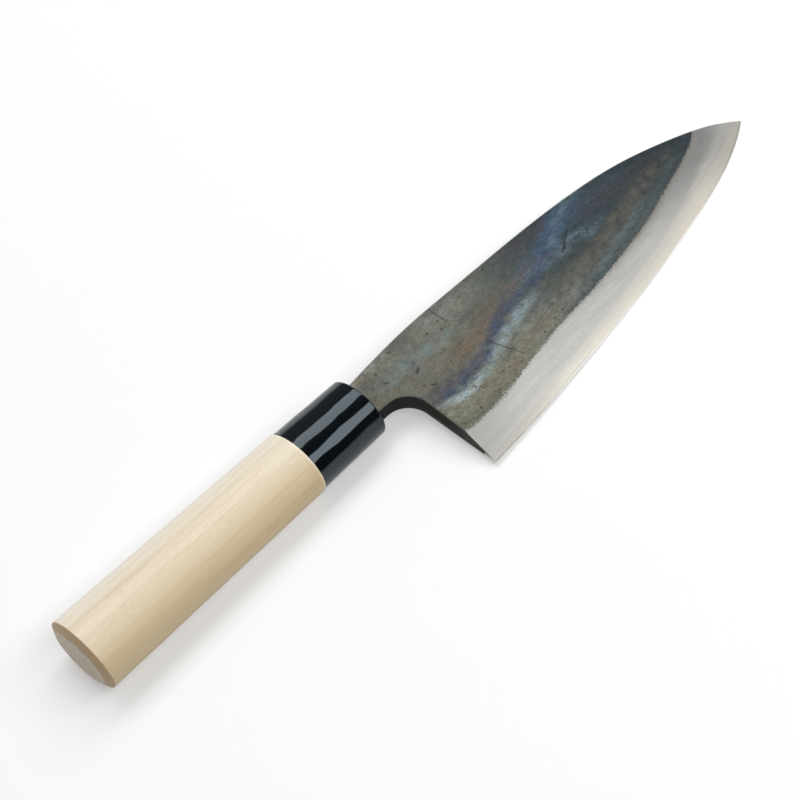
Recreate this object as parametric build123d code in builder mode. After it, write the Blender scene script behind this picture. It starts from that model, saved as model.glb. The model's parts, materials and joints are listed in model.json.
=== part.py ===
from build123d import *
from math import atan2, cos, hypot, radians, sin
import os

os.makedirs("parts", exist_ok=True)

# A deba knife that lies on a table, back of the blade down, in millimetres.
# The knife has its own coordinates: x runs from the front of the ferrule along the
# handle's axis to the tip, y runs up to the spine, and z rises out of the bevelled face.

# Blade outline, measured from the point where the handle's axis leaves the ferrule
blade_reach = 198.1
heel_reach = 16.0
heel_drop = 46.9
tip_drop = 16.1
spine_rise = 9.2
neck_drop = 7.7
machi_width = 15.0
machi_radius = 9.5
neck_sink = 3.0

# Blade thickness
back_drop = 3.75
spine_thickness = 8.3
heel_thickness = 5.6
point_thickness = 3.0
point_reach = 178.0
point_drop = 6.2
bevel_width = 14.0
edge_land = 0.15
micro_bevel_width = 0.6
micro_bevel_gain_share = 0.3
spine_ease = 0.5
notch_ease = 0.3

# Hard steel layer on the back, with its ground hollow
steel_thickness = 1.5
steel_tip_thickness = 0.8
steel_even_reach = 140.0
steel_start = 9.0
scarf_length = 7.0
hollow_depth = 0.45

# Tang
tang_length = 82.0
tang_root_height = 12.4
tang_root_thickness = 6.6
tang_root_shift = 0.4
tang_end_height = 6.0
tang_end_thickness = 3.0
tang_clearance = 0.12

# Handle
handle_length = 125.4
butt_height = 28.2
butt_width = 22.4
joint_height = 26.1
joint_width = 20.8
butt_chamfer_length = 1.5
butt_chamfer_depth = 3.4
butt_ease = 0.4

# Ferrule
ferrule_length = 30.2
ferrule_front_height = 24.4
ferrule_front_width = 19.6
ferrule_step = 0.25
ferrule_wall = 2.2
ferrule_front_round = 0.9
ferrule_inner_round = 0.4
ferrule_clearance = 0.05
spigot_recess = 0.8

# Where the knife's weight makes its edge touch the table, from the heel to the tip
rest_share = 0.8

# How far a cutting shape runs past what it cuts
overrun = 5.0

# Outline shares: how far along, and how far up from the tip or the heel
spine_shares = [
    (0.081, 0.950),
    (0.162, 0.990),
    (0.303, 0.986),
    (0.454, 0.968),
    (0.606, 0.905),
    (0.730, 0.779),
    (0.833, 0.575),
    (0.924, 0.322),
]
neck_rise_share = 0.66
neck_mouth_share = 0.70
edge_shares = [
    (0.0, 0.0),
    (0.200, 0.084),
    (0.410, 0.204),
    (0.604, 0.351),
    (0.784, 0.549),
    (0.912, 0.763),
    (1.0, 1.0),
]
bevel_width_shares = [1.0, 0.99, 0.99, 1.0, 1.12, 1.28, 1.36]

# Hollow of the back at each station: how far along the blade it lies, from where to
# where it reaches between the heel's level and the spine's, and how deep it is
hollow_shares = [
    (0.033, 0.194, 0.765, 0.2),
    (0.088, 0.084, 0.925, 0.85),
    (0.242, 0.119, 0.939, 1.0),
    (0.406, 0.176, 0.930, 1.0),
    (0.604, 0.258, 0.889, 0.9),
    (0.763, 0.355, 0.797, 0.6),
    (0.868, 0.453, 0.683, 0.2),
]

back = -back_drop
blade_length = blade_reach - heel_reach
spine_span = spine_rise + tip_drop
edge_span = heel_drop - tip_drop


def spine_point(along, rise):
    return (blade_reach * along, spine_span * rise - tip_drop)


def edge_point(along, rise):
    return (heel_reach + blade_length * along, edge_span * rise - heel_drop)


# The flat of the bevelled face: a plane that thins towards the edge and the tip
across_fall = (spine_thickness - heel_thickness) / (spine_rise + heel_drop - bevel_width)
point_run = point_reach - heel_reach
along_fall = (spine_thickness - across_fall * (spine_rise + point_drop) - point_thickness) / point_run


def flat_thickness(x, y):
    return spine_thickness - across_fall * (spine_rise - y) - along_fall * (x - heel_reach)


# How the knife lies: on one point of its edge and on the lowest point of the handle
edge_points = [edge_point(*share) for share in edge_shares]
edge_line = Spline(*edge_points)
rest_point = edge_line @ rest_share + Vector(0, 0, back)
rest_dir = edge_line % rest_share
inward_dir = Vector(-rest_dir.Y, rest_dir.X, 0)
heel = Vector(heel_reach, -heel_drop, back)
tip = Vector(blade_reach, -tip_drop, back)
rings = [
    (-handle_length, butt_height / 2 - butt_chamfer_depth, butt_width / 2 - butt_chamfer_depth),
    (butt_chamfer_length - handle_length, butt_height / 2, butt_width / 2),
    (-ferrule_length, joint_height / 2, joint_width / 2),
    (-ferrule_front_round, ferrule_front_height / 2, ferrule_front_width / 2),
]


def ring_tilt(x, half_height, half_width, angle):
    spot = Vector(x, half_height * cos(angle), half_width * sin(angle))
    return atan2(back - spot.Z, (spot - rest_point).dot(inward_dir))


tilt = max(ring_tilt(*ring, radians(degree)) for ring in rings for degree in range(180, 360))
up_dir = inward_dir * sin(tilt) + Vector(0, 0, 1) * cos(tilt)
level_x_dir = (Vector(1, 0, 0) - up_dir * up_dir.X).normalized()
level_y_dir = up_dir.cross(level_x_dir)


def on_table(spot):
    return Vector(spot.dot(level_x_dir), spot.dot(level_y_dir), spot.dot(up_dir))


def ring_reach(x, half_height, half_width, direction):
    return x * direction.X + hypot(half_height * direction.Y, half_width * direction.Z)


low_x = -max(ring_reach(-ring[0], *ring[1:], level_x_dir) for ring in rings)
high_y = max(ring_reach(*ring, level_y_dir) for ring in rings)
knife_origin = Vector(
    -(low_x + on_table(tip).X) / 2,
    -(high_y + on_table(heel).Y) / 2,
    -on_table(rest_point).Z,
)
knife = Plane(origin=knife_origin, x_dir=on_table(Vector(1, 0, 0)), z_dir=on_table(Vector(0, 0, 1)))


def level(height):
    """The plane parallel to the back of the blade at this height over the handle's axis."""
    return knife.offset(height)


def across(x):
    """The plane across the handle at x. Its own axes point up to the spine and out of the face."""
    return Plane(origin=knife.from_local_coords((x, 0, 0)), x_dir=knife.y_dir, z_dir=knife.x_dir)


def lengthwise():
    """The plane along the handle's axis, square to the blade. Its own axes are the knife's x and z."""
    return Plane(origin=knife.origin, x_dir=knife.x_dir, z_dir=-knife.y_dir)


# Whole blade, before it is parted into iron and steel
spine_points = [spine_point(*share) for share in spine_shares]
neck_top = (-neck_sink, spine_rise * neck_rise_share)
neck_low = (-neck_sink, -neck_drop)
machi_corner = (machi_width, -neck_drop)
bevel_top = spine_thickness + overrun
bevel_land = edge_land + micro_bevel_width * micro_bevel_gain_share


def bevel_section(x, edge_y, width, land, steeper):
    """The space over a bevel: its lower side rises from the edge to over the flat."""
    slope = (flat_thickness(x, edge_y + width) - bevel_land) / width + steeper
    start = edge_y - overrun
    with BuildSketch(across(x)) as section:
        with BuildLine():
            Polyline(
                (start, back + land - slope * overrun),
                (edge_y + bevel_top / slope, back + land + bevel_top),
                (start, back + land + bevel_top),
                close=True,
            )
        make_face()
    return section.sketch


def bevel_sections(land, steeper):
    """The sections over the edge's own points, with one more beyond each end."""
    heel_slope = (edge_points[1][1] - edge_points[0][1]) / (edge_points[1][0] - edge_points[0][0])
    tip_slope = (edge_points[-1][1] - edge_points[-2][1]) / (edge_points[-1][0] - edge_points[-2][0])
    before = (edge_points[0][0] - overrun, edge_points[0][1] - heel_slope * overrun)
    beyond = (edge_points[-1][0] + overrun, edge_points[-1][1] + tip_slope * overrun)
    stations = [before, *edge_points, beyond]
    shares = [bevel_width_shares[0], *bevel_width_shares, bevel_width_shares[-1]]
    return [
        bevel_section(*station, bevel_width * share, land, steeper)
        for station, share in zip(stations, shares)
    ]


with BuildPart() as blade_form:
    with BuildSketch(level(back)):
        with BuildLine():
            FilletPolyline(neck_low, machi_corner, edge_points[0], radius=machi_radius)
            Spline(*edge_points)
            Spline(edge_points[-1], *reversed(spine_points), neck_top)
            Line(neck_top, neck_low)
        make_face()
    extrude(amount=spine_thickness + overrun)

    flat_heel = Vector(heel_reach, bevel_width - heel_drop, back + heel_thickness)
    flat_spine = Vector(heel_reach, spine_rise, back + spine_thickness)
    flat_point = Vector(point_reach, -point_drop, back + point_thickness)
    flat_normal = (flat_point - flat_heel).cross(flat_spine - flat_heel)
    flat_plane = Plane(
        origin=knife.from_local_coords(flat_heel),
        z_dir=knife.from_local_coords(flat_normal) - knife.origin,
    )
    split(bisect_by=flat_plane, keep=Keep.BOTTOM)
    loft(bevel_sections(bevel_land, 0), mode=Mode.SUBTRACT)
    flat_face = blade_form.faces().filter_by(flat_plane).sort_by(SortBy.AREA)[-1]
    spine_edge = flat_face.edges().sort_by(Axis(knife.origin, knife.y_dir))[-1]
    chamfer(spine_edge, length=spine_ease)
    flat_face = blade_form.faces().filter_by(flat_plane).sort_by(SortBy.AREA)[-1]
    notch_edges = flat_face.edges().sort_by(Axis(knife.origin, knife.x_dir))[1:4]
    chamfer(notch_edges, length=notch_ease)
    loft(bevel_sections(edge_land, micro_bevel_gain_share), mode=Mode.SUBTRACT)


def steel_zone():
    """The room under the weld, with the scarf where the steel runs out in the neck."""
    weld = back + steel_thickness
    scarf_run = overrun * scarf_length / steel_thickness
    with BuildSketch(lengthwise()) as zone:
        with BuildLine():
            Polyline(
                (steel_start - scarf_run, back - overrun),
                (steel_start + scarf_length, weld),
                (steel_even_reach, weld),
                (blade_reach, back + steel_tip_thickness),
                (blade_reach + overrun, back + steel_tip_thickness),
                (blade_reach + overrun, back - overrun),
                close=True,
            )
        make_face()
    return zone.sketch


def tang_taper(clearance):
    """The tang's two ends: its root in the neck and its blunt point in the wood."""
    root_z = back + flat_thickness(-neck_sink, 0) / 2
    with BuildSketch(across(-neck_sink)) as root:
        with Locations((-tang_root_shift, root_z)):
            Rectangle(tang_root_height + 2 * clearance, tang_root_thickness + 2 * clearance)
    with BuildSketch(across(-tang_length - clearance)) as point:
        Rectangle(tang_end_height + 2 * clearance, tang_end_thickness + 2 * clearance)
    return [root.sketch, point.sketch]


def oval(x, height, width):
    with BuildSketch(across(x)) as section:
        Ellipse(height / 2, width / 2)
    return section.sketch


def hollow_section(along, low, high, depth):
    """A shallow arc over the back, with the room under it that a grindstone takes."""
    low_y = (spine_rise + heel_drop) * low - heel_drop
    high_y = (spine_rise + heel_drop) * high - heel_drop
    top_z = back + hollow_depth * depth
    with BuildSketch(across(heel_reach + blade_length * along)) as section:
        with BuildLine():
            ThreePointArc((low_y, back), ((low_y + high_y) / 2, top_z), (high_y, back))
            Polyline((high_y, back), (high_y, back - overrun), (low_y, back - overrun), (low_y, back))
        make_face()
    return section.sketch


zone_width = heel_drop + spine_span

with BuildPart() as blade_iron:
    add(blade_form.part)
    extrude(steel_zone(), amount=zone_width, both=True, mode=Mode.SUBTRACT)
    loft(tang_taper(0))
blade_iron.part.label = "blade_iron"

with BuildPart() as edge_steel:
    add(blade_form.part)
    extrude(steel_zone(), amount=zone_width, both=True, mode=Mode.INTERSECT)
    loft([hollow_section(*share) for share in hollow_shares], mode=Mode.SUBTRACT)
edge_steel.part.label = "edge_steel"

ferrule_rear_height = joint_height - 2 * ferrule_step
ferrule_rear_width = joint_width - 2 * ferrule_step


def ferrule_bore(clearance):
    """The taper inside the ferrule, which the wood's spigot fills, drawn in by the clearance."""
    inset = 2 * (ferrule_wall + clearance)
    rear = oval(-ferrule_length, ferrule_rear_height - inset, ferrule_rear_width - inset)
    front = oval(0, ferrule_front_height - inset, ferrule_front_width - inset)
    return [rear, front]


def neck_mouth():
    """The room that the wood leaves round the neck, in front of the tang's shoulder."""
    low_y = -neck_drop - tang_clearance
    high_y = spine_rise * neck_mouth_share + tang_clearance
    low_z = back - tang_clearance
    high_z = back + flat_thickness(-neck_sink, high_y) + tang_clearance
    with BuildSketch(across(-neck_sink - tang_clearance)) as mouth:
        with Locations(((low_y + high_y) / 2, (low_z + high_z) / 2)):
            Rectangle(high_y - low_y, high_z - low_z)
    return mouth.sketch


with BuildPart() as handle_wood:
    butt_end = oval(
        -handle_length,
        butt_height - 2 * butt_chamfer_depth,
        butt_width - 2 * butt_chamfer_depth,
    )
    butt_rim = oval(butt_chamfer_length - handle_length, butt_height, butt_width)
    loft([butt_end, butt_rim], ruled=True)
    loft([butt_rim, oval(-ferrule_length, joint_height, joint_width)], ruled=True)
    loft(ferrule_bore(ferrule_clearance), ruled=True)
    split(bisect_by=across(-spigot_recess), keep=Keep.BOTTOM)
    butt_faces = handle_wood.faces().sort_by(Axis(knife.origin, knife.x_dir))[:2]
    fillet(butt_faces.edges().filter_by(GeomType.ELLIPSE), radius=butt_ease)
    loft(tang_taper(tang_clearance), mode=Mode.SUBTRACT)
    extrude(neck_mouth(), amount=neck_sink + overrun, mode=Mode.SUBTRACT)
handle_wood.part.label = "handle_wood"

with BuildPart() as ferrule:
    ferrule_rear = oval(-ferrule_length, ferrule_rear_height, ferrule_rear_width)
    ferrule_front = oval(0, ferrule_front_height, ferrule_front_width)
    loft([ferrule_rear, ferrule_front], ruled=True)
    loft(ferrule_bore(0), ruled=True, mode=Mode.SUBTRACT)
    front_face = ferrule.faces().sort_by(Axis(knife.origin, knife.x_dir))[-1]
    inner_edge, outer_edge = front_face.edges().sort_by(SortBy.LENGTH)
    fillet(outer_edge, radius=ferrule_front_round)
    fillet(inner_edge, radius=ferrule_inner_round)
ferrule.part.label = "ferrule"

export_step(blade_iron.part, "parts/blade_iron.step")
export_step(edge_steel.part, "parts/edge_steel.step")
export_step(handle_wood.part, "parts/handle_wood.step")
export_step(ferrule.part, "parts/ferrule.step")
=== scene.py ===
import json
from math import cos, pi, radians, sin, tau

import bmesh
import bpy
from mathutils import Matrix, Vector, kdtree, noise


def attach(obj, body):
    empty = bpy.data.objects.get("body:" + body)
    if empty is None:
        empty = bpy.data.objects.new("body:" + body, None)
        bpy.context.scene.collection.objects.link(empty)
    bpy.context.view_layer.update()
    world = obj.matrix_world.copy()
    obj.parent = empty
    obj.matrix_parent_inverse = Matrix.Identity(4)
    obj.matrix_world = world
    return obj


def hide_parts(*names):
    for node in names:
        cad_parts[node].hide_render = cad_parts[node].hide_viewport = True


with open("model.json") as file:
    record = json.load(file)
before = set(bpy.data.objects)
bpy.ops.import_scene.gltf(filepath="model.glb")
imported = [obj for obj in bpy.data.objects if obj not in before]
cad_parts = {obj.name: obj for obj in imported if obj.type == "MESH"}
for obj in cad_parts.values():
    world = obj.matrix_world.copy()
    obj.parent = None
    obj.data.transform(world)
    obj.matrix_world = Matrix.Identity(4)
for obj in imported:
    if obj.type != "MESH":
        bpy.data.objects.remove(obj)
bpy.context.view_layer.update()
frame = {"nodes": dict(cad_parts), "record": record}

MM = 0.001
scene = bpy.context.scene

# Lengths of the CAD model, in millimetres. The back of the blade lies below the handle's axis
HANDLE_LENGTH = 125.4
FERRULE_LENGTH = 30.2
BACK_DROP = 3.75

# The knife's own axes: x along the handle to the tip, y up to the spine, z out of the bevelled face.
# They start on the handle's axis at the ferrule's front rim.
mounts = {mount["name"]: mount for mount in frame["record"]["mounts"]}
KNIFE_X = -Vector(mounts["butt_end"]["axis"]).normalized()
KNIFE_Z = -Vector(mounts["flat_back"]["axis"]).normalized()
KNIFE_Y = KNIFE_Z.cross(KNIFE_X).normalized()
KNIFE_ORIGIN = Vector(mounts["butt_end"]["pos_m"]) + KNIFE_X * HANDLE_LENGTH * MM


def on_knife(x, y, z):
    """The point of the scene at these knife coordinates in millimetres."""
    return KNIFE_ORIGIN + (KNIFE_X * x + KNIFE_Y * y + KNIFE_Z * z) * MM


# Camera, at the place and with the lens that fit the photograph
CAMERA_PLACE = Vector((-0.26081, -0.24405, 0.46468))
CAMERA_FORWARD = Vector((0.41248, 0.44095, -0.79713))
CAMERA_RIGHT = Vector((0.66719, -0.74202, -0.06523))
CAMERA_LENS = 76.5
SENSOR_WIDTH = 36.0

camera_data = bpy.data.cameras.new("camera")
camera_data.lens = CAMERA_LENS
camera_data.sensor_width = SENSOR_WIDTH
camera_data.clip_start = 0.01
camera_data.clip_end = 50.0
camera = bpy.data.objects.new("camera", camera_data)
scene.collection.objects.link(camera)
camera_up = CAMERA_RIGHT.cross(CAMERA_FORWARD).normalized()
camera_right = CAMERA_FORWARD.cross(camera_up).normalized()
turned = Matrix((camera_right, camera_up, -CAMERA_FORWARD.normalized())).transposed().to_4x4()
camera.matrix_world = Matrix.Translation(CAMERA_PLACE) @ turned
scene.camera = camera
scene.view_settings.view_transform = "Standard"


# Colours and node graphs
def colour(red, green, blue):
    """The linear colour of three display values from 0 to 255."""
    def linear(value):
        share = value / 255
        return share / 12.92 if share <= 0.04045 else ((share + 0.055) / 1.055) ** 2.4
    return (linear(red), linear(green), linear(blue), 1.0)


# The colours of the knife's materials, in display values, some of them painted shade, light and
# highlights. The temper colours are with their streams
SHADES = {
    "scale_mid": (80, 83, 78),
    "scale_pale": (100, 102, 94),
    "scale_olive": (116, 117, 102),
    "scale_blue_black": (38, 50, 56),
    "scale_tip": (36, 43, 49),
    "scale_rust": (104, 91, 74),
    "worn_speck": (168, 172, 164),
    "heel_crust": (70, 69, 58),
    "pit": (40, 39, 34),
    "mark": (40, 40, 38),
    "ground_mid": (186, 186, 183),
    "ground_pale": (196, 196, 193),
    "ground_heel_painted_shade": (146, 146, 142),
    "ground_tip_painted_shade": (128, 128, 127),
    "ground_by_scale_painted_shade": (146, 146, 144),
    "grinding_line": (152, 152, 150),
    "weld_haze": (198, 195, 188),
    "scale_border": (52, 50, 42),
    "ground_fringe": (138, 126, 100),
    "eased_edge_painted_highlight": (128, 130, 122),
    "wall_grey": (64, 68, 63),
    "wall_corner": (48, 52, 47),
    "wall_heel_painted_light": (102, 105, 98),
    "wall_neck_painted_shade": (12, 14, 12),
    "wall_patina": (48, 52, 47),
    "steel_mid": (205, 203, 196),
    "steel_pale": (221, 215, 204),
    "steel_line": (176, 173, 167),
    "steel_heel_painted_shade": (154, 153, 149),
    "steel_tip_painted_shade": (160, 159, 154),
    "honed_edge_painted_highlight": (240, 238, 232),
    "back_rim": (222, 219, 214),
    "back_hollow": (182, 181, 177),
    "back_line": (152, 151, 148),
    "steel_wall_painted_shade": (18, 20, 18),
    "wood_mid": (231, 217, 193),
    "wood_pale": (236, 225, 205),
    "wood_ring": (219, 198, 160),
    "wood_late": (188, 160, 120),
    "wood_fibre": (206, 183, 147),
    "wood_pore": (190, 160, 120),
    "wood_layer": (206, 181, 140),
    "wood_painted_low_shade": (206, 182, 136),
    "wood_painted_spine_light": (241, 235, 222),
    "wood_rim_painted_highlight": (252, 246, 228),
    "butt_chamfer": (184, 156, 120),
    "butt_pale": (206, 193, 170),
    "butt_dark": (188, 172, 148),
    "ferrule_deep": (8, 10, 12),
    "ferrule_pale": (16, 18, 20),
}


def paint(name):
    """The linear colour of a named shade."""
    return colour(*SHADES[name])


class Wire:
    """An output of a node, with arithmetic that adds Math nodes to its graph."""

    def __init__(self, graph, socket):
        self.graph = graph
        self.socket = socket

    def __add__(self, other):
        return self.graph.math("ADD", self, other)

    def __sub__(self, other):
        return self.graph.math("SUBTRACT", self, other)

    def __mul__(self, other):
        return self.graph.math("MULTIPLY", self, other)

    def __truediv__(self, other):
        return self.graph.math("DIVIDE", self, other)


class Graph:
    """The nodes of a material or a world, made by short calls."""

    def __init__(self, owner):
        self.owner = owner
        owner.use_nodes = True
        self.nodes = owner.node_tree.nodes
        self.links = owner.node_tree.links
        self.nodes.clear()

    def put(self, node, key, value):
        if isinstance(value, Wire):
            self.links.new(value.socket, node.inputs[key])
        else:
            node.inputs[key].default_value = value

    def make(self, kind, inputs, **settings):
        node = self.nodes.new("ShaderNode" + kind)
        for name, value in settings.items():
            setattr(node, name, value)
        for key, value in inputs.items():
            self.put(node, key, value)
        return node

    def out(self, kind, key, inputs, **settings):
        return Wire(self, self.make(kind, inputs, **settings).outputs[key])

    def math(self, operation, *values):
        return self.out("Math", 0, dict(enumerate(values)), operation=operation)

    def ramp(self, value, low, high, to_low=0.0, to_high=1.0, smooth=True):
        """Brings a value between low and high to one between to_low and to_high, eased if smooth."""
        kind = "SMOOTHSTEP" if smooth else "LINEAR"
        inputs = {"Value": value, 1: low, 2: high, 3: to_low, 4: to_high}
        return self.out("MapRange", "Result", inputs, interpolation_type=kind)

    def mix(self, factor, first, second, blend="MIX"):
        node = self.make("Mix", {}, data_type="RGBA", blend_type=blend, clamp_factor=True)
        self.put(node, "Factor", factor)
        for key, value in (("A_Color", first), ("B_Color", second)):
            socket = next(s for s in node.inputs if s.identifier == key)
            if isinstance(value, Wire):
                self.links.new(value.socket, socket)
            else:
                socket.default_value = value
        result = next(s for s in node.outputs if s.identifier == "Result_Color")
        return Wire(self, result)

    def blend(self, factor, first, second):
        """Numbers mixed by a factor."""
        node = self.make("Mix", {"Factor": factor, 2: first, 3: second}, data_type="FLOAT")
        return Wire(self, node.outputs[0])

    def vector(self, x, y, z=0.0):
        return self.out("CombineXYZ", 0, {"X": x, "Y": y, "Z": z})

    def noise(self, vector, scale, detail=3.0, roughness=0.5):
        inputs = {"Vector": vector, "Scale": scale, "Detail": detail, "Roughness": roughness}
        return self.out("TexNoise", "Fac", inputs)

    def curve(self, value, points, reach):
        """A smooth line through points, whose x runs from 0 to reach and whose y is in millimetres."""
        low = min(y for x, y in points)
        high = max(y for x, y in points)
        node = self.make("FloatCurve", {"Value": value / reach})
        line = node.mapping.curves[0]
        spots = [(x / reach, (y - low) / (high - low)) for x, y in points]
        line.points[0].location = spots[0]
        line.points[1].location = spots[-1]
        for spot in spots[1:-1]:
            line.points.new(*spot)
        node.mapping.update()
        return Wire(self, node.outputs[0]) * (high - low) + low

    def knife(self):
        """The knife coordinates of the shaded point, in millimetres, as three wires."""
        place = self.out("TexCoord", "Object", {})
        start = tuple(KNIFE_ORIGIN)
        apart = self.out("VectorMath", 0, {0: place, 1: start}, operation="SUBTRACT")
        wires = []
        for axis in (KNIFE_X, KNIFE_Y, KNIFE_Z):
            inputs = {0: apart, 1: tuple(axis / MM)}
            wires.append(self.out("VectorMath", "Value", inputs, operation="DOT_PRODUCT"))
        return wires

    def facing(self):
        """How far the surface itself faces out of the bevelled face, from -1 to 1."""
        normal = self.out("NewGeometry", "True Normal", {})
        return self.out("VectorMath", "Value", {0: normal, 1: tuple(KNIFE_Z)}, operation="DOT_PRODUCT")

    def bump(self, height, strength, distance):
        inputs = {"Height": height, "Strength": strength, "Distance": distance}
        return self.out("Bump", "Normal", inputs)

    def finish(self, **inputs):
        """Ends the graph in one Principled shader with these inputs."""
        named = {key.replace("_", " "): value for key, value in inputs.items()}
        shader = self.make("BsdfPrincipled", named)
        output = self.make("OutputMaterial", {})
        self.links.new(shader.outputs[0], output.inputs["Surface"])
        return self.owner


def new_graph(name):
    return Graph(bpy.data.materials.new(name))


# The curves of the finish run over this length of the blade, in millimetres
BLADE_REACH = 200.0

# The line between the dark scale and the ground bevel, in knife coordinates
scale_line = [
    (0, -33.1), (16.7, -33.1), (24, -33.5), (31, -33.3), (39.5, -32.4), (52.9, -30.5),
    (72, -28.2), (93.6, -26.6), (117.9, -23.6), (133.5, -20.8), (147.5, -17.1), (156.8, -14.8),
    (166.8, -12.1), (174.6, -9.1), (178.2, -6.9), (186, 0), (200, 12),
]


# The finish of the forged flat: streams of temper colour over a grey scale. The three pale cyan ones are
# partly temper colour and partly a painted sheen, the reflection of a light's edge. Each has its colour,
# the line of its middle, its half width, the stretch of the blade that it covers, and its strength. The
# noise that breaks it up goes by its place in this list, so a new one comes at the end.
STREAM_APART = 13.0
STREAM_FADE_IN = 7.0
STREAM_FADE_OUT = 10.0
STREAM_EDGE = 1.5
streams = [
    ((84, 80, 66), [(0, -6), (8, -6.5), (18, -4), (30, -6), (200, -6)], 4.6, (-8, 20), 0.85),
    ((136, 138, 128), [(0, 6.4), (10, 6.4), (24, 7), (200, 7)], 2.6, (-8, 16), 0.85),
    ((108, 92, 76), [
        (0, -9), (26, -9.5), (34, -10), (46, -11.5), (56, -8), (200, 0),
    ], 4.2, (28, 60), 0.85),
    ((56, 68, 78), [(0, -4), (80, -2), (100, 0), (125, 1), (200, 0)], 9.0, (76, 140), 0.7),
    ((62, 58, 64), [(0, 5), (84, 5), (104, 3.5), (124, -2), (150, -4), (200, -4)], 3.6, (78, 160), 0.7),
    ((78, 73, 67), [(0, -6), (50, -7.6), (62, -6.4), (74, -4.2), (200, -3)], 2.8, (54, 76), 0.6),
    ((66, 69, 70), [(0, -17), (20, -17), (34, -16.5), (200, -16)], 4.4, (12, 38), 0.75),
    ((128, 130, 122), [(0, 3), (40, 4), (56, 4), (200, 4)], 6.0, (36, 60), 0.5),
    ((132, 134, 126), [
        (0, -20), (44, -19), (60, -20), (78, -21.5), (92, -21), (200, -20),
    ], 3.8, (38, 96), 0.5),
    ((88, 84, 76), [
        (0, -27), (62, -25.5), (72, -23), (92, -19), (104, -17), (117, -14.4), (130, -12),
        (142, -9), (155, -8), (200, -8),
    ], 3.6, (82, 166), 0.85),
    ((66, 80, 88), [
        (0, -29), (62, -28), (72, -26.4), (93.6, -24.3), (117.9, -21), (133.5, -17.8),
        (147.5, -14.2), (156.8, -11.9), (166.8, -9.2), (174, -6.8), (200, -6),
    ], 2.4, (78, 176), 0.75),
    ((104, 116, 120), [
        (0, -24), (96, -22), (110, -20.4), (126, -17), (140, -14), (200, -10),
    ], 1.8, (98, 136), 0.5),
    ((64, 92, 118), [
        (0, -6), (88, -5), (97, -2.4), (106, 1.2), (116, 3.2), (200, 4),
    ], 4.6, (82, 118), 0.9),
    ((98, 117, 128), [
        (0, -7), (74, -6.4), (88, -6.8), (104, -7.8), (118, -9), (200, -9),
    ], 2.6, (72, 116), 0.8),
    ((104, 122, 124), [
        (0, -3), (14, -3.5), (24, -1.5), (34, -2), (44, -3), (200, -3),
    ], 3.2, (10, 42), 0.55),
    ((78, 72, 78), [
        (0, -17), (17, -17.4), (30, -18), (42, -17), (48, -15.5), (55, -12.4), (62, -9.2),
        (72, -6.8), (84, -5), (100, -6), (200, -6),
    ], 3.0, (16, 96), 0.85),
    ((54, 66, 86), [
        (0, -20), (20, -19.7), (33, -19.9), (42, -18.8), (48, -16.4), (57, -13.8), (67, -11.4),
        (77, -10), (86, -7), (94, -3.6), (104, -0.4), (116, 1.6), (200, 2),
    ], 2.8, (17, 118), 0.95),
    # These three pale cyan streams are partly temper colour and partly a painted sheen, the reflection of
    # a light's edge
    ((126, 142, 144), [
        (0, -21), (17.6, -21.4), (25, -22.8), (33, -22.8), (42, -21.1), (50, -18.4), (57, -16.4),
        (64.5, -14.4), (72, -13.6), (80, -13.6), (90, -15), (200, -15),
    ], 2.3, (17, 74), 0.6),
    ((158, 172, 172), [
        (0, -21), (16, -21.6), (25, -22.8), (34, -23), (44, -22.6), (200, -22),
    ], 1.8, (14, 42), 0.6),
    ((140, 158, 164), [
        (0, -20), (50, -18.6), (57, -17), (64.5, -15.4), (74, -14), (200, -13),
    ], 2.6, (50, 73), 0.7),
    ((54, 68, 88), [(0, -12), (50, -12), (60, -11.4), (68, -10.2), (200, -10)], 2.6, (50, 67), 0.9),
    ((122, 120, 108), [(0, -25), (62, -25.4), (80, -24.4), (92, -23), (200, -20)], 2.6, (62, 90), 0.7),
    ((98, 122, 124), [
        (0, -6), (97, -3), (104, 0), (112, 3.6), (120, 6.4), (200, 8),
    ], 2.2, (98, 124), 0.6),
    ((112, 92, 80), [(0, 4.8), (10, 5.2), (200, 5.4)], 2.2, (-6, 7), 0.5),
    ((114, 98, 84), [
        (0, -27), (30, -28.4), (44, -28), (58, -25), (68, -23), (78, -22), (200, -20),
    ], 2.2, (26, 76), 0.5),
]

# Places where the scale is worn to pale specks: x, y and radius
worn_places = [
    (127.5, -12.6, 3.2), (107.0, -15.6, 2.4), (119.5, -18.0, 2.6), (159.8, -11.0, 3.0),
    (39.5, -3.0, 3.4), (60.0, 5.0, 4.0), (8.0, 6.5, 3.0),
]
WORN_STRETCH = 1.5


def near_place(graph, kx, ky, place, stretch):
    """1 at a place on the blade, falling to 0 at its radius, which is stretched along the blade."""
    x, y, radius = place
    apart = graph.math("POWER", (kx - x) / stretch, 2.0) + graph.math("POWER", ky - y, 2.0)
    return graph.ramp(graph.math("SQRT", apart), radius, 0.0)


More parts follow.
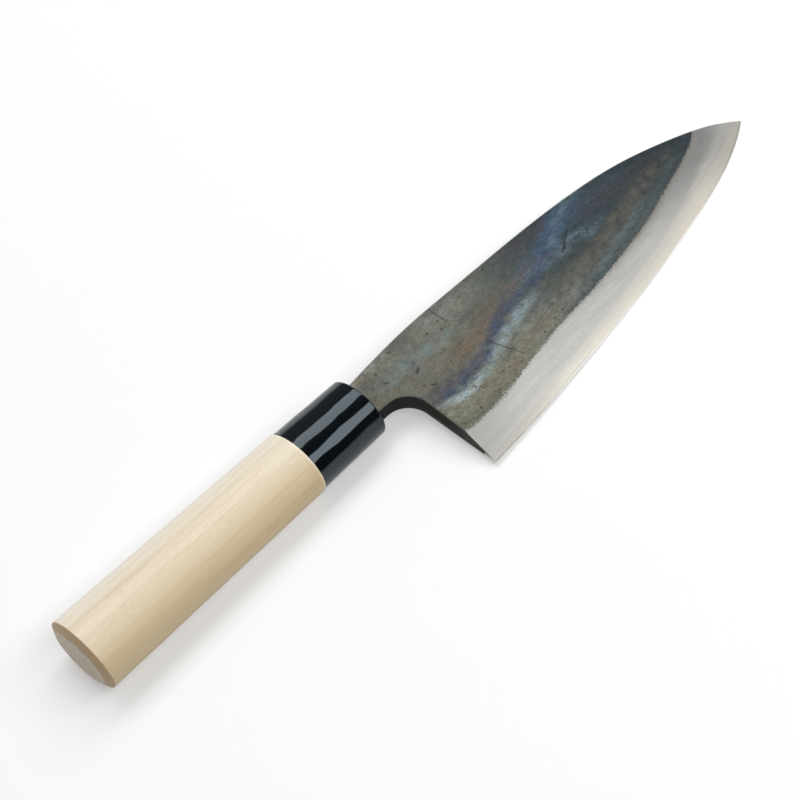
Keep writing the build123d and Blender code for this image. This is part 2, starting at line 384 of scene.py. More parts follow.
def forged_scale(graph, kx, ky, kz):
    """The colour, roughness and height of the dark scale. Places are in millimetres."""
    flat = graph.vector(kx, ky, kz)
    cloud = graph.noise(flat, 0.09, detail=5.0, roughness=0.6)
    drift = graph.noise(graph.vector(kx * 0.5 + 37.0, ky, kz), 0.16, detail=9.0, roughness=0.68)
    sway = graph.noise(graph.vector(kx, ky + 60.0, kz), 0.3, detail=7.0, roughness=0.7)
    along = kx + (sway - 0.5) * 16.0
    wander = (drift - 0.5) * 8.0
    # Greys, olive low at the heel, and blue black towards the tip
    soft = graph.mix(graph.ramp(cloud, 0.3, 0.7), paint("scale_mid"), paint("scale_pale"))
    olive = graph.ramp(ky + wander, -20.0, -26.0) * graph.ramp(along, 84.0, 50.0)
    soft = graph.mix(olive * 0.85, soft, paint("scale_olive"))
    toe = graph.ramp(along + (cloud - 0.5) * 50.0, 48.0, 104.0)
    toe = toe * graph.ramp(ky + wander, -20.0, -6.0, 0.5, 0.92)
    soft = graph.mix(toe, soft, paint("scale_blue_black"))
    # The temper colours, the three pale cyan ones partly a painted sheen
    for index, (tone, line, half, (start, end), strength) in enumerate(streams):
        middle = graph.curve(kx, line, BLADE_REACH)
        apart = graph.math("ABSOLUTE", ky - middle + wander)
        band = graph.ramp(apart, half * STREAM_EDGE, 0.0)
        band = band * graph.ramp(along, start - STREAM_FADE_IN, start + STREAM_FADE_IN)
        band = band * graph.ramp(along, end + STREAM_FADE_OUT, end - STREAM_FADE_OUT) * strength
        place = graph.vector(kx * 0.8 + index * STREAM_APART, ky * 1.3, kz)
        patchy = graph.ramp(graph.noise(place, 0.24, detail=8.0, roughness=0.7), 0.36, 0.6, 0.12, 1.0)
        soft = graph.mix(band * patchy, soft, colour(*tone))
    # The dark tip, and spots of rust towards the handle
    tip = graph.ramp(along + (cloud - 0.5) * 20.0, 132.0, 180.0)
    soft = graph.mix(tip * 0.58, soft, paint("scale_tip"))
    rust = graph.noise(graph.vector(kx * 0.8 - 80.0, ky, kz), 0.2, detail=8.0, roughness=0.7)
    rust = graph.ramp(rust, 0.5, 0.64) * graph.ramp(along, 100.0, 60.0)
    soft = graph.mix(rust * 0.4, soft, paint("scale_rust"))
    # Grain
    fine = graph.noise(flat, 1.2, detail=6.0, roughness=0.85)
    drawn = graph.vector(kx * 0.5 + ky * 0.2, ky - kx * 0.1, kz)
    mottle = graph.noise(drawn, 0.5, detail=9.0, roughness=0.75)
    shade = graph.ramp(mottle, 0.36, 0.64, 0.72, 1.28, smooth=False)
    shade = shade * graph.ramp(fine, 0.36, 0.64, 0.74, 1.26, smooth=False)
    soft = graph.mix(1.0, soft, shade, "MULTIPLY")
    # Pale specks, thickest at the worn places
    specks = graph.ramp(graph.noise(flat, 2.6, detail=3.0, roughness=0.6), 0.6, 0.7)
    worn = None
    for place in worn_places:
        spot = near_place(graph, kx, ky, place, WORN_STRETCH)
        worn = spot if worn is None else graph.math("MAXIMUM", worn, spot)
    soft = graph.mix(specks * (worn * 0.8 + 0.14), soft, paint("worn_speck"))
    rough = graph.blend(graph.ramp(mottle, 0.3, 0.7), 0.38, 0.52)
    height = fine * 0.45 + mottle * 0.55
    return soft, rough, height


# Marks in the scale: from where to where, and the half width at each end
marks = [
    ((48.9, -14.6), (53.9, -26.8), 0.22, 0.14), ((44.3, 8.2), (45.0, 0.8), 0.22, 0.16),
    ((104.2, -4.7), (99.6, -7.6), 0.3, 0.55), ((99.6, -7.6), (97.0, -8.6), 0.5, 0.15),
    ((108.2, -2.4), (104.2, -4.7), 0.1, 0.25),
    ((21.8, -6.3), (23.4, -5.5), 0.5, 0.35), ((21.3, -13.1), (22.8, -13.9), 0.3, 0.45),
    ((10.2, -1.4), (11.6, -2.2), 0.25, 0.3), ((146.0, -2.0), (150.5, -3.4), 0.12, 0.1),
    ((112.0, -8.5), (109.4, -12.4), 0.12, 0.1), ((70.0, -21.5), (78.0, -20.2), 0.14, 0.1),
]


def stroke(graph, kx, ky, start, end, near, far):
    """1 along a short mark from start to end, with these half widths at its ends."""
    run = Vector(end) - Vector(start)
    share = ((kx - start[0]) * run.x + (ky - start[1]) * run.y) / run.length_squared
    share = graph.math("MAXIMUM", graph.math("MINIMUM", share, 1.0), 0.0)
    off_x = kx - (share * run.x + start[0])
    off_y = ky - (share * run.y + start[1])
    apart = graph.math("SQRT", off_x * off_x + off_y * off_y)
    half = graph.blend(share, near, far)
    return graph.ramp(apart / half, 2.0, 0.2)


def pits(graph, kx, ky, size, share):
    """Where the scale has flaked off in small pits: 1 inside a pit."""
    place = graph.vector(kx, ky)
    bent = graph.out("TexNoise", "Color", {"Vector": place, "Scale": 1.5, "Detail": 2.0})
    moved = graph.out("VectorMath", 0, {0: place, 1: bent}, operation="ADD")
    spots = graph.make("TexVoronoi", {"Vector": moved, "Scale": size, "Randomness": 1.0})
    near = Wire(graph, spots.outputs["Distance"])
    kind = graph.out("SeparateColor", "Red", {"Color": Wire(graph, spots.outputs["Color"])})
    chosen = graph.math("LESS_THAN", kind, share)
    return graph.ramp(near, 0.34, 0.16) * chosen


GRIND_SKEW = 0.22


def ground_finish(graph, kx, ky, kz):
    """The fine lines of a grindstone across the blade, and broad clouds along it."""
    skewed = graph.vector((kx + ky * GRIND_SKEW) * 2.2, (ky - kx * GRIND_SKEW) * 0.2, kz)
    lines = graph.noise(skewed, 1.0, detail=6.0, roughness=0.8)
    broad = graph.noise(graph.vector(kx * 0.05, ky * 0.5, kz), 1.0, detail=3.0)
    return lines, broad


# The depth of the bump in each surface, in metres
SCALE_RELIEF = 0.00012
GROUND_RELIEF = 0.00003
WOOD_RELIEF = 0.00006

# The stretches, from the butt's end, in which its chamfer and its end grain begin
CHAMFER_START = (1.9, 1.5)
END_GRAIN_START = (0.25, 0.1)

# The ferrule's gloss takes this colour
GLOSS_TINT = (0.74, 0.89, 1.0, 1.0)


def iron_material():
    """Dark scale above, bright ground bevel below a jagged line, and dark walls."""
    graph = new_graph("forged_iron")
    kx, ky, kz = graph.knife()
    facing = graph.math("ABSOLUTE", graph.facing())
    # The line between the scale and the ground bevel
    jag = graph.noise(graph.vector(kx + ky * 0.2, (ky - kx * 0.2) * 0.45), 1.5, detail=5.0, roughness=0.9)
    ragged = graph.blend(graph.ramp(kx, 70.0, 26.0), 5.5, 10.0)
    boundary = ky - graph.curve(kx, scale_line, BLADE_REACH) + (jag - 0.5) * ragged
    ground = graph.ramp(boundary, 0.35, -0.35)
    scale, scale_rough, scale_height = forged_scale(graph, kx, ky, kz)
    # Pits, which crowd on the heel's side, a crust along the line there, and the marks
    heel_side = graph.ramp(ky + kx * 0.05, -12.0, -24.0) * graph.ramp(kx, 110.0, 40.0)
    crowd = graph.noise(graph.vector(kx * 0.8, ky + 20.0), 0.26, detail=3.0)
    heel_side = heel_side * graph.ramp(crowd, 0.42, 0.58, 0.15, 1.0)
    pit = pits(graph, kx, ky, 1.0, graph.blend(heel_side, 0.06, 0.6))
    pit = graph.math("MAXIMUM", pit, pits(graph, kx + 40.0, ky, 0.6, graph.blend(heel_side, 0.03, 0.3)))
    near_heel = graph.ramp(boundary, 6.0, 0.0) * graph.ramp(kx, 60.0, 24.0)
    scale = graph.mix(near_heel * graph.ramp(jag, 0.64, 0.42) * 0.75, scale, paint("heel_crust"))
    scored = None
    for mark in marks:
        line = stroke(graph, kx, ky, *mark)
        scored = line if scored is None else graph.math("MAXIMUM", scored, line)
    scored = scored * graph.ramp(jag, 0.3, 0.6, 0.6, 1.0)
    scale = graph.mix(pit * 0.8, scale, paint("pit"))
    scale = graph.mix(scored * 0.85, scale, paint("mark"))
    # The ground bevel: darker at the heel, at the tip and by the scale, partly its own tone and partly
    # painted shade for its dimmer reflections, with grinding lines
    lines, broad = ground_finish(graph, kx, ky, kz)
    bare = graph.mix(graph.ramp(broad, 0.3, 0.7), paint("ground_mid"), paint("ground_pale"))
    bare = graph.mix(graph.ramp(kx, 50.0, 14.0) * 0.62, bare, paint("ground_heel_painted_shade"))
    point = graph.ramp(kx, 122.0, 176.0) * graph.ramp(kx, 194.0, 178.0, 0.5, 1.0)
    bare = graph.mix(point * 0.85, bare, paint("ground_tip_painted_shade"))
    near_line = graph.ramp(boundary, -4.5, 0.0) * graph.ramp(kx, 70.0, 164.0, 0.1, 0.95)
    bare = graph.mix(near_line, bare, paint("ground_by_scale_painted_shade"))
    bare = graph.mix(graph.ramp(lines, 0.4, 0.66) * 0.3, bare, paint("grinding_line"))
    # A pale haze towards the weld with the steel
    above_back = kz + BACK_DROP + (broad - 0.5) * 0.8
    weld = graph.ramp(above_back, 2.4, 1.3) * 0.45 + graph.ramp(above_back, 1.9, 1.35) * 0.45
    weld = weld * graph.ramp(kx, 156.0, 190.0, 1.0, 0.5) * graph.ramp(kx, 14.0, 50.0, 0.2, 1.0)
    bare = graph.mix(weld, bare, paint("weld_haze"))
    # Both sides of the line
    edge_band = graph.ramp(graph.math("ABSOLUTE", boundary + 0.1), 0.9, 0.0)
    scale = graph.mix(edge_band * 0.5, scale, paint("scale_border"))
    fringe = graph.ramp(graph.math("ABSOLUTE", boundary + 0.5), 0.9, 0.2) * graph.ramp(jag, 0.4, 0.6)
    bare = graph.mix(fringe * graph.ramp(kx, 40.0, 150.0, 0.1, 0.6), bare, paint("ground_fringe"))
    top = graph.mix(ground, scale, bare)
    # The walls: the spine and the notch, and the eased edges beside them. The notch's wall carries painted
    # shade, darkest at the neck, and is painted paler towards the edge; the eased edges carry a painted
    # highlight
    wall = graph.ramp(facing, 0.66, 0.45)
    # A painted highlight on the eased edges, broken up by patina
    eased = graph.ramp(facing, 0.87, 0.8) * (wall * -1.0 + 1.0)
    patina = graph.noise(graph.vector(kx, ky, kz), 1.4, detail=4.0)
    top = graph.mix(eased * graph.ramp(patina, 0.35, 0.55, 0.2, 0.8), top, paint("eased_edge_painted_highlight"))
    # The notch's wall: painted shade darkest at the neck and painted light towards the edge, over the
    # scale's own dark tone
    notch = graph.mix(graph.ramp(ky, -10.0, -18.0), paint("wall_grey"), paint("wall_corner"))
    notch = graph.mix(graph.ramp(ky, -24.0, -38.0), notch, paint("wall_heel_painted_light"))
    dark = graph.mix(graph.ramp(kx, 6.0, 20.0), paint("wall_neck_painted_shade"), notch)
    dark = graph.mix(patina * 0.7, dark, paint("wall_patina"))
    tint = graph.mix(wall, top, dark)
    # The shader's other inputs
    rough = graph.blend(wall, graph.blend(ground, scale_rough, 0.54), 0.85)
    metal = graph.blend(wall, graph.blend(ground, 0.55, 1.0), 0.1)
    height = graph.blend(ground, scale_height - pit * 0.8 - scored * 0.6, lines * 0.12 - 0.3)
    normal = graph.bump(height, 0.5, SCALE_RELIEF)
    return graph.finish(
        Base_Color=tint, Roughness=rough, Metallic=metal, Normal=normal, Specular_IOR_Level=0.25,
    )


def steel_material():
    """The warmer ground steel of the edge, with painted shade at its heel, its tip and its walls, a
    painted highlight on its honed edge, and the back with its hollow.
    """
    graph = new_graph("hard_steel")
    kx, ky, kz = graph.knife()
    facing = graph.facing()
    wall = graph.ramp(graph.math("ABSOLUTE", facing), 0.6, 0.4)
    lines, broad = ground_finish(graph, kx, ky, kz)
    above_back = kz + BACK_DROP + (broad - 0.5) * 0.7
    bare = graph.mix(graph.ramp(above_back, 1.35, 0.55), paint("steel_mid"), paint("steel_pale"))
    bare = graph.mix(graph.ramp(lines, 0.4, 0.66) * 0.22, bare, paint("steel_line"))
    # Darker at the heel and the tip, partly the steel's own tone and partly painted shade for its dimmer
    # reflections
    bare = graph.mix(graph.ramp(kx, 66.0, 16.0) * 0.75, bare, paint("steel_heel_painted_shade"))
    bare = graph.mix(graph.ramp(kx, 150.0, 184.0) * 0.55, bare, paint("steel_tip_painted_shade"))
    # The walls that get painted shade: those high on the steel, and all of them towards the tip
    high = graph.ramp(ky - graph.curve(kx, scale_line, BLADE_REACH), -9.5, -8.0)
    wall = wall * graph.math("MAXIMUM", high, graph.ramp(kx, 146.0, 158.0))
    # A painted highlight along the honed edge
    honed = graph.ramp(kz + BACK_DROP, 0.34, 0.24) * graph.ramp(facing, -0.3, 0.0)
    bare = graph.mix(honed * graph.ramp(kx, 168.0, 130.0), bare, paint("honed_edge_painted_highlight"))
    back = graph.ramp(facing, 0.0, -0.4)
    hollow = graph.ramp(kz + BACK_DROP, 0.01, 0.06)
    drawn = graph.noise(graph.vector(kx * 0.12, ky * 3.0), 1.0, detail=5.0, roughness=0.7)
    under = graph.mix(hollow, paint("back_rim"), paint("back_hollow"))
    under = graph.mix(graph.ramp(drawn, 0.4, 0.65) * 0.4, under, paint("back_line"))
    bare = graph.mix(back, bare, under)
    # Painted shade on the steel's walls, near black
    bare = graph.mix(wall, bare, paint("steel_wall_painted_shade"))
    metal = graph.blend(wall, 1.0, 0.4)
    rough = graph.blend(wall, graph.blend(lines, 0.5, 0.56), 0.5)
    normal = graph.bump(lines, 0.3, GROUND_RELIEF)
    return graph.finish(Base_Color=bare, Roughness=rough, Metallic=metal, Normal=normal)


def wood_material():
    """Pale wood with long grain, painted shade on its low side, painted light on the spine's side, a
    painted highlight at the rim by the ferrule, and the end grain of the butt.
    """
    graph = new_graph("magnolia_wood")
    kx, ky, kz = graph.knife()
    drift = graph.noise(graph.vector(kx * 0.012, ky * 0.07, kz * 0.07), 1.0, detail=3.0)
    bend = (graph.noise(graph.vector(kx * 0.02, 3.0, 0.0), 1.0) - 0.5) * 5.0
    across = graph.vector(kx * 0.004, (ky + bend) * 0.4, kz * 0.25)
    ring = graph.noise(across, 1.0, detail=6.0, roughness=0.62)
    fibre = graph.noise(graph.vector(kx * 0.12, ky * 5.5, kz * 5.5), 1.0, detail=5.0, roughness=0.7)
    pore = graph.noise(graph.vector(kx * 0.35, ky * 9.0, kz * 9.0), 1.0, detail=2.0)
    tone = graph.mix(graph.ramp(drift, 0.35, 0.65), paint("wood_mid"), paint("wood_pale"))
    tone = graph.mix(graph.ramp(ring, 0.48, 0.6) * 0.55, tone, paint("wood_ring"))
    late = graph.ramp(ring, 0.585, 0.6) * graph.ramp(ring, 0.615, 0.6)
    tone = graph.mix(late * 0.6, tone, paint("wood_late"))
    tone = graph.mix(graph.ramp(fibre, 0.42, 0.7) * 0.3, tone, paint("wood_fibre"))
    tone = graph.mix(graph.ramp(pore, 0.66, 0.78) * 0.3, tone, paint("wood_pore"))
    turn = ky * 0.16 + kz * 0.07 + bend * 0.06 + drift * 0.9
    phase = graph.math("FRACT", turn)
    layer = graph.ramp(phase, 0.45, 0.975, smooth=False) * graph.ramp(phase, 1.0, 0.975)
    layer = layer * graph.ramp(ring, 0.42, 0.58, 0.3, 1.0)
    tone = graph.mix(layer * graph.ramp(fibre, 0.3, 0.6, 0.2, 0.5), tone, paint("wood_layer"))
    fleck = graph.noise(graph.vector(kx * 0.5, ky * 2.2, kz * 2.2), 1.0, detail=4.0, roughness=0.8)
    tone = graph.mix(1.0, tone, graph.ramp(fleck, 0.38, 0.62, 0.94, 1.05, smooth=False), "MULTIPLY")
    # Painted shade on the handle's low side and painted light on its spine's side
    low_side = graph.ramp(ky - kz * 0.3, -1.0, -14.0)
    tone = graph.mix(low_side * 0.7, tone, paint("wood_painted_low_shade"))
    tone = graph.mix(graph.ramp(ky, 0.0, 12.0) * 0.65, tone, paint("wood_painted_spine_light"))
    # A painted highlight along the wood's rim by the ferrule
    rim = graph.ramp(kx, -FERRULE_LENGTH - 1.0, -FERRULE_LENGTH - 0.3)
    tone = graph.mix(rim * 0.35, tone, paint("wood_rim_painted_highlight"))
    butt = graph.ramp(kx, CHAMFER_START[0] - HANDLE_LENGTH, CHAMFER_START[1] - HANDLE_LENGTH)
    end = graph.ramp(kx, END_GRAIN_START[0] - HANDLE_LENGTH, END_GRAIN_START[1] - HANDLE_LENGTH)
    growth = graph.noise(graph.vector(0.0, ky * 0.9 + bend, kz * 0.2), 1.0, detail=5.0, roughness=0.7)
    tone = graph.mix(butt, tone, paint("butt_chamfer"))
    cut = graph.mix(graph.ramp(growth, 0.4, 0.65), paint("butt_pale"), paint("butt_dark"))
    tone = graph.mix(end, tone, cut)
    height = graph.blend(butt, fibre * 0.7 + pore * 0.3, 0.5)
    normal = graph.bump(height, 0.25, WOOD_RELIEF)
    return graph.finish(Base_Color=tone, Roughness=0.46, Normal=normal, Specular_IOR_Level=0.5)


def ferrule_material():
    """Glossy black with a faintly blue gloss."""
    graph = new_graph("gloss_black")
    kx, ky, kz = graph.knife()
    cloud = graph.noise(graph.vector(kx, ky, kz), 0.2)
    tone = graph.mix(cloud, paint("ferrule_deep"), paint("ferrule_pale"))
    return graph.finish(Base_Color=tone, Roughness=0.06, IOR=1.56, Specular_Tint=GLOSS_TINT)


def coat(node, material):
    """Gives every slot of a CAD node's object this material."""
    node_object = frame["nodes"][node]
    if not node_object.material_slots:
        node_object.data.materials.append(material)
    for slot in node_object.material_slots:
        slot.material = material


coat("handle_wood", wood_material())


# Meshes that take the place of CAD nodes. Corners nearer than this many millimetres are one
CLOSE = 0.002


def on_flat(point):
    """The first two knife coordinates of a point of the scene, in millimetres."""
    apart = (point - KNIFE_ORIGIN) / MM
    return apart.dot(KNIFE_X), apart.dot(KNIFE_Y)


def copied_shape(node):
    """A mesh to work on with the shape of a CAD node, each of its corners there once."""
    source = frame["nodes"][node].data
    build = bmesh.new()
    corners = [build.verts.new(vertex.co) for vertex in source.vertices]
    for polygon in source.polygons:
        build.faces.new([corners[index] for index in polygon.vertices])
    bmesh.ops.remove_doubles(build, verts=build.verts[:], dist=CLOSE * MM)
    build.normal_update()
    return build


def divide(build, axis, low, high, step):
    """Cuts the mesh by planes across one of the knife's axes, a step apart."""
    for index in range(int((high - low) / step) + 1):
        place = KNIFE_ORIGIN + axis * (low + index * step) * MM
        geometry = build.verts[:] + build.edges[:] + build.faces[:]
        bmesh.ops.bisect_plane(build, geom=geometry, dist=CLOSE * MM, plane_co=place, plane_no=axis)


def faces_in_plane(build, spot, normal):
    """The faces whose corners all lie in a plane."""
    def level(vertex):
        return abs((vertex.co - spot).dot(normal)) < CLOSE * MM
    return {face for face in build.faces if all(level(vertex) for vertex in face.verts)}


def part_edges(build, plane_faces, angle):
    """Keeps the shading crisp round the faces of a plane, and wherever the surface turns by an angle."""
    for face in build.faces:
        face.smooth = True
    for edge in build.edges:
        sides = [face in plane_faces for face in edge.link_faces]
        edge.smooth = len(set(sides)) == 1 and edge.calc_face_angle(0.0) < angle


def take_place(build, name, node, material):
    """Makes the mesh a piece of the model in a CAD node's place."""
    bmesh.ops.triangulate(build, faces=build.faces[:])
    mesh = bpy.data.meshes.new(name)
    build.to_mesh(mesh)
    build.free()
    mesh.materials.append(material)
    piece = bpy.data.objects.new(name, mesh)
    scene.collection.objects.link(piece)
    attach(piece, "root")
    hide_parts(node)


WAVE_MEAN = 0.5


def wave_sum(waves, spot):
    """The mean plus some waves of noise. Each has its lengths, its place in the noise and its strength."""
    total = WAVE_MEAN
    for lengths, place, strength in waves:
        scaled = Vector([value / length for value, length in zip(spot, lengths)]) + Vector(place)
        total += strength * noise.noise(scaled)
    return total


# The stretch of the blade that is cut into a grid, in knife coordinates
GRID_LOW = -46.0
GRID_HIGH = 9.0
GRID_TIP = 197.0

# The forged blade: its flat is uneven by less than a tenth of a millimetre, and meets its borders level
IRON_START = -2.0
IRON_STEP = 1.0
FORGED_DEPTH = 0.11
FORGED_BORDER = 2.0
FORGED_WAVES = [
    ((27, 16, 1), (0, 0, 2.0), 0.34), ((9, 7, 1), (0, 0, 9.0), 0.26), ((3.6, 3.2, 1), (0, 0, 17.0), 0.1),
]
FORGED_CREASE = radians(14)
FACES_UP = 0.9


def forged_depth(x, y):
    """How far the forged flat lies below its plane, in millimetres."""
    return FORGED_DEPTH * max(0.0, wave_sum(FORGED_WAVES, (x, y, 0.0)))


def forged_blade():
    """The iron of the blade with an uneven flat."""
    build = copied_shape("blade_iron")
    upward = [face for face in build.faces if face.normal.dot(KNIFE_Z) > FACES_UP]
    largest = max(upward, key=lambda face: face.calc_area())
    spot = largest.verts[0].co.copy()
    normal = largest.normal.copy()
    divide(build, KNIFE_Y, GRID_LOW, GRID_HIGH, IRON_STEP)
    divide(build, KNIFE_X, IRON_START, GRID_TIP, IRON_STEP)
    flat = faces_in_plane(build, spot, normal)
    part_edges(build, flat, FORGED_CREASE)
    inner = {vertex for face in flat for vertex in face.verts}
    border = [vertex for vertex in inner if any(face not in flat for face in vertex.link_faces)]
    tree = kdtree.KDTree(len(border))
    for index, vertex in enumerate(border):
        tree.insert(vertex.co, index)
    tree.balance()
    for vertex in inner:
        distance = tree.find(vertex.co)[2] / MM
        share = min(1.0, distance / FORGED_BORDER)
        x, y = on_flat(vertex.co)
        eased = share * share * (3 - 2 * share)
        vertex.co -= normal * forged_depth(x, y) * eased * MM
    take_place(build, "forged_blade", "blade_iron", iron_material())


# The steel of the edge, whose grid starts further out than the iron's and is coarser
STEEL_START = 10.0
STEEL_STEP = 2.0
STEEL_CREASE = radians(7)


def ground_steel():
    """The steel layer with crisp borders."""
    build = copied_shape("edge_steel")
    spot = KNIFE_ORIGIN - KNIFE_Z * BACK_DROP * MM
    divide(build, KNIFE_Y, GRID_LOW, GRID_HIGH, STEEL_STEP)
    divide(build, KNIFE_X, STEEL_START, GRID_TIP, STEEL_STEP)
    part_edges(build, faces_in_plane(build, spot, KNIFE_Z), STEEL_CREASE)
    take_place(build, "ground_steel", "edge_steel", steel_material())


# The ferrule: an oval collar with the faint waves of a polished surface. Each of its two rims has
# its size in y and in z
FERRULE_FRONT = (24.4, 19.6)
FERRULE_REAR = (25.6, 20.3)
FERRULE_WALL = 2.2
FRONT_ROUND = 0.9
INNER_ROUND = 0.4
REAR_ROUND = 0.15
FERRULE_CORNERS = 240
FERRULE_CREASE = radians(40)
WAVE_DEPTH = 0.14
WAVE_FADE = 1.5
FERRULE_WAVES = [((9.0, 3.6, 3.6), (0, 0, 0), 0.45), ((3.6, 2.6, 2.6), (20, 0, 0), 0.12)]

# How many steps each stretch of the collar's section has
REAR_STEPS = 3
SIDE_STEPS = 44
FRONT_STEPS = 8
INNER_STEPS = 4
BORE_STEPS = 8


def quarter_turn(step, steps):
    """The angle after some of the equal steps of a quarter turn."""
    return step * pi / (2 * steps)


def ferrule_profile():
    """The collar's section as pairs of x and inset from its outer oval, from the rear end of the bore."""
    rear = [(-FERRULE_LENGTH, FERRULE_WALL), (-FERRULE_LENGTH, REAR_ROUND)]
    for step in range(1, REAR_STEPS + 1):
        angle = quarter_turn(step, REAR_STEPS)
        drawn = REAR_ROUND * (1 - cos(angle))
        rear.append((drawn - FERRULE_LENGTH, REAR_ROUND * (1 - sin(angle))))
    side_length = FERRULE_LENGTH - REAR_ROUND - FRONT_ROUND
    side = []
    for step in range(1, SIDE_STEPS):
        side.append((REAR_ROUND - FERRULE_LENGTH + side_length * step / SIDE_STEPS, 0.0))
    front = []
    for step in range(FRONT_STEPS + 1):
        angle = quarter_turn(step, FRONT_STEPS)
        front.append((-FRONT_ROUND * (1 - sin(angle)), FRONT_ROUND * (1 - cos(angle))))
    inner = []
    for step in range(INNER_STEPS + 1):
        angle = quarter_turn(step, INNER_STEPS)
        deeper = FERRULE_WALL - INNER_ROUND * (1 - sin(angle))
        inner.append((-INNER_ROUND * (1 - cos(angle)), deeper))
    bore = [(-FERRULE_LENGTH * step / BORE_STEPS, FERRULE_WALL) for step in range(1, BORE_STEPS)]
    return rear + side + front + inner + bore


def ferrule_wave(x, across, out):
    """How far the polished surface lies below its oval, in millimetres."""
    ends = min(1.0, (FERRULE_LENGTH + x) / WAVE_FADE, -x / WAVE_FADE)
    return WAVE_DEPTH * max(0.0, wave_sum(FERRULE_WAVES, (x, across, out))) * max(0.0, ends)


def polished_ferrule():
    """The collar, as rings of corners along its section."""
    build = bmesh.new()
    rings = []
    for x, inset in ferrule_profile():
        share = -x / FERRULE_LENGTH
        half = [(front + (rear - front) * share) / 2 for front, rear in zip(FERRULE_FRONT, FERRULE_REAR)]
        ring = []
        for index in range(FERRULE_CORNERS):
            angle = tau * index / FERRULE_CORNERS
            drawn = inset
            if inset < FRONT_ROUND:
                drawn += ferrule_wave(x, half[0] * cos(angle), half[1] * sin(angle))
            spot = on_knife(x, (half[0] - drawn) * cos(angle), (half[1] - drawn) * sin(angle))
            ring.append(build.verts.new(spot))
        rings.append(ring)
    for first, second in zip(rings, rings[1:] + rings[:1]):
        for index in range(FERRULE_CORNERS):
            after = (index + 1) % FERRULE_CORNERS
            build.faces.new((first[index], first[after], second[after], second[index]))
    bmesh.ops.recalc_face_normals(build, faces=build.faces[:])
    part_edges(build, set(), FERRULE_CREASE)
    take_place(build, "polished_ferrule", "ferrule", ferrule_material())


forged_blade()
ground_steel()
polished_ferrule()

# Floor: a white background to the camera and in reflections, which keeps the shadow near the knife
FLOOR_SIZE = 3.0
floor_mesh = bpy.data.meshes.new("floor")
floor_build = bmesh.new()
bmesh.ops.create_grid(floor_build, x_segments=1, y_segments=1, size=FLOOR_SIZE)
floor_build.to_mesh(floor_mesh)
floor_build.free()
floor = bpy.data.objects.new("floor", floor_mesh)
scene.collection.objects.link(floor)

FLOOR_TONE = 0.93
FLOOR_BOUNCE = 0.65
FLOOR_GLOW = 0.3
GLOW_START = 0.32
GLOW_FULL = 0.8


def background_rays(graph):
    """1 for the rays that show the background: the camera's, mirrored ones and those through glass."""
    path = graph.make("LightPath", {})
    seen = Wire(graph, path.outputs["Is Camera Ray"])
    for name in ("Is Glossy Ray", "Is Transmission Ray"):
        seen = graph.math("MAXIMUM", seen, Wire(graph, path.outputs[name]))
    return seen


def floor_material():
    """The same white floor to the camera and in reflections, and a duller one to scattered light."""
    graph = new_graph("white_floor")
    seen = background_rays(graph)
    place = graph.out("NewGeometry", "Position", {})
    distance = graph.out("VectorMath", "Value", {0: place}, operation="LENGTH")
    glow = graph.blend(graph.ramp(distance, GLOW_START, GLOW_FULL), FLOOR_GLOW, 1.0)
    tone = graph.blend(seen, FLOOR_BOUNCE, (glow * -1.0 + 1.0) * FLOOR_TONE)
    diffuse = graph.make("BsdfDiffuse", {"Color": tone})
    emission = graph.make("Emission", {"Strength": seen * glow})
    both = graph.make("AddShader", {})
    output = graph.make("OutputMaterial", {})
    graph.links.new(diffuse.outputs[0], both.inputs[0])
    graph.links.new(emission.outputs[0], both.inputs[1])
    graph.links.new(both.outputs[0], output.inputs["Surface"])
    return graph.owner


floor_mesh.materials.append(floor_material())

# World: a white background to the camera and, up to a little above the horizon, in reflections.
# Higher up, reflections show the dim ceiling of a studio. Dull surfaces get a soft light from all
# round. The ceiling and this light are brighter on the far side.
AMBIENT_NEAR = 0.16
AMBIENT_FAR = 0.37
CEILING_NEAR = 0.016
CEILING_FAR = 0.176
FAR_START = -0.3
FAR_FULL = 0.7
BACKDROP_TOP = 0.22
BACKDROP_FULL = 0.04
world = bpy.data.worlds.new("studio")
scene.world = world


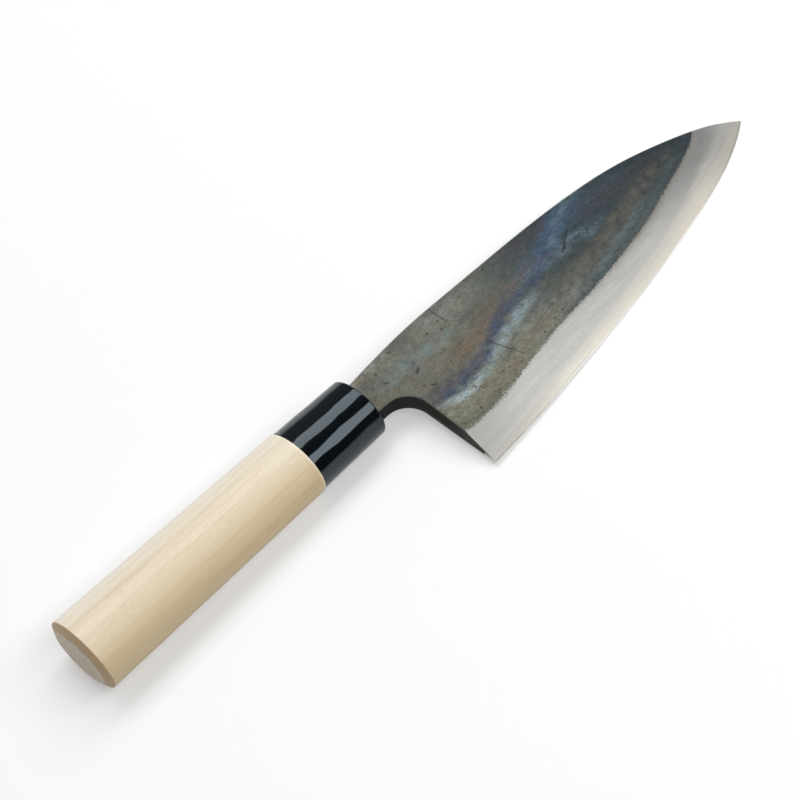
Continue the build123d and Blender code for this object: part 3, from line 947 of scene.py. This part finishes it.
def studio():
    """The world's light, brighter from the far side, and its background."""
    graph = Graph(world)
    way = graph.out("TexCoord", "Generated", {})
    split = graph.make("SeparateXYZ", {0: way})
    rise = Wire(graph, split.outputs["Z"])
    far_side = graph.ramp(Wire(graph, split.outputs["Y"]), FAR_START, FAR_FULL)
    ambient = graph.blend(far_side, AMBIENT_NEAR, AMBIENT_FAR)
    ceiling = graph.blend(far_side, CEILING_NEAR, CEILING_FAR)
    backdrop = graph.ramp(rise, BACKDROP_TOP, BACKDROP_FULL)
    camera_ray = Wire(graph, graph.make("LightPath", {}).outputs["Is Camera Ray"])
    seen = background_rays(graph)
    white = graph.math("MAXIMUM", camera_ray, seen * backdrop)
    lit = graph.blend(seen, ambient, ceiling)
    strength = graph.blend(white, lit, 1.0)
    background = graph.make("Background", {"Color": (1.0, 1.0, 1.0, 1.0), "Strength": strength})
    output = graph.make("OutputWorld", {})
    graph.links.new(background.outputs[0], output.inputs["Surface"])


studio()


# Lamps: two panels overhead, one on each side, and a fill that reflections don't show
PANEL_X = 0.65
PANEL_HEIGHT = 1.2
PANEL_LENGTH = 2.0
# Each panel's name, its place in y, its width and its radiance
PANELS = [("panel_left", 0.53, 0.65, 3.2), ("panel_right", -0.8075, 0.745, 3.6)]
FILL_PLACE = (-0.6, 0.7, 1.5)
FILL_LENGTH = 1.6
FILL_WIDTH = 1.2
FILL_RADIANCE = 0.45


def lamp(name, centre, length, width, radiance, aim=(0.0, 0.0, 0.0), gloss=True):
    """A rectangle of light that faces the point it is aimed at, its long side as near to x as can be."""
    data = bpy.data.lights.new(name, "AREA")
    data.shape = "RECTANGLE"
    data.size = length
    data.size_y = width
    data.energy = radiance * pi * length * width
    lamp_object = bpy.data.objects.new(name, data)
    scene.collection.objects.link(lamp_object)
    away = (Vector(centre) - Vector(aim)).normalized()
    side = (Vector((1, 0, 0)) - away * away.x).normalized()
    up = away.cross(side)
    turned = Matrix((side, up, away)).transposed().to_4x4()
    lamp_object.matrix_world = Matrix.Translation(centre) @ turned
    lamp_object.visible_glossy = gloss


for name, y, width, radiance in PANELS:
    lamp(name, (PANEL_X, y, PANEL_HEIGHT), PANEL_LENGTH, width, radiance, aim=(PANEL_X, y, 0.0))
lamp("fill", FILL_PLACE, FILL_LENGTH, FILL_WIDTH, FILL_RADIANCE, gloss=False)
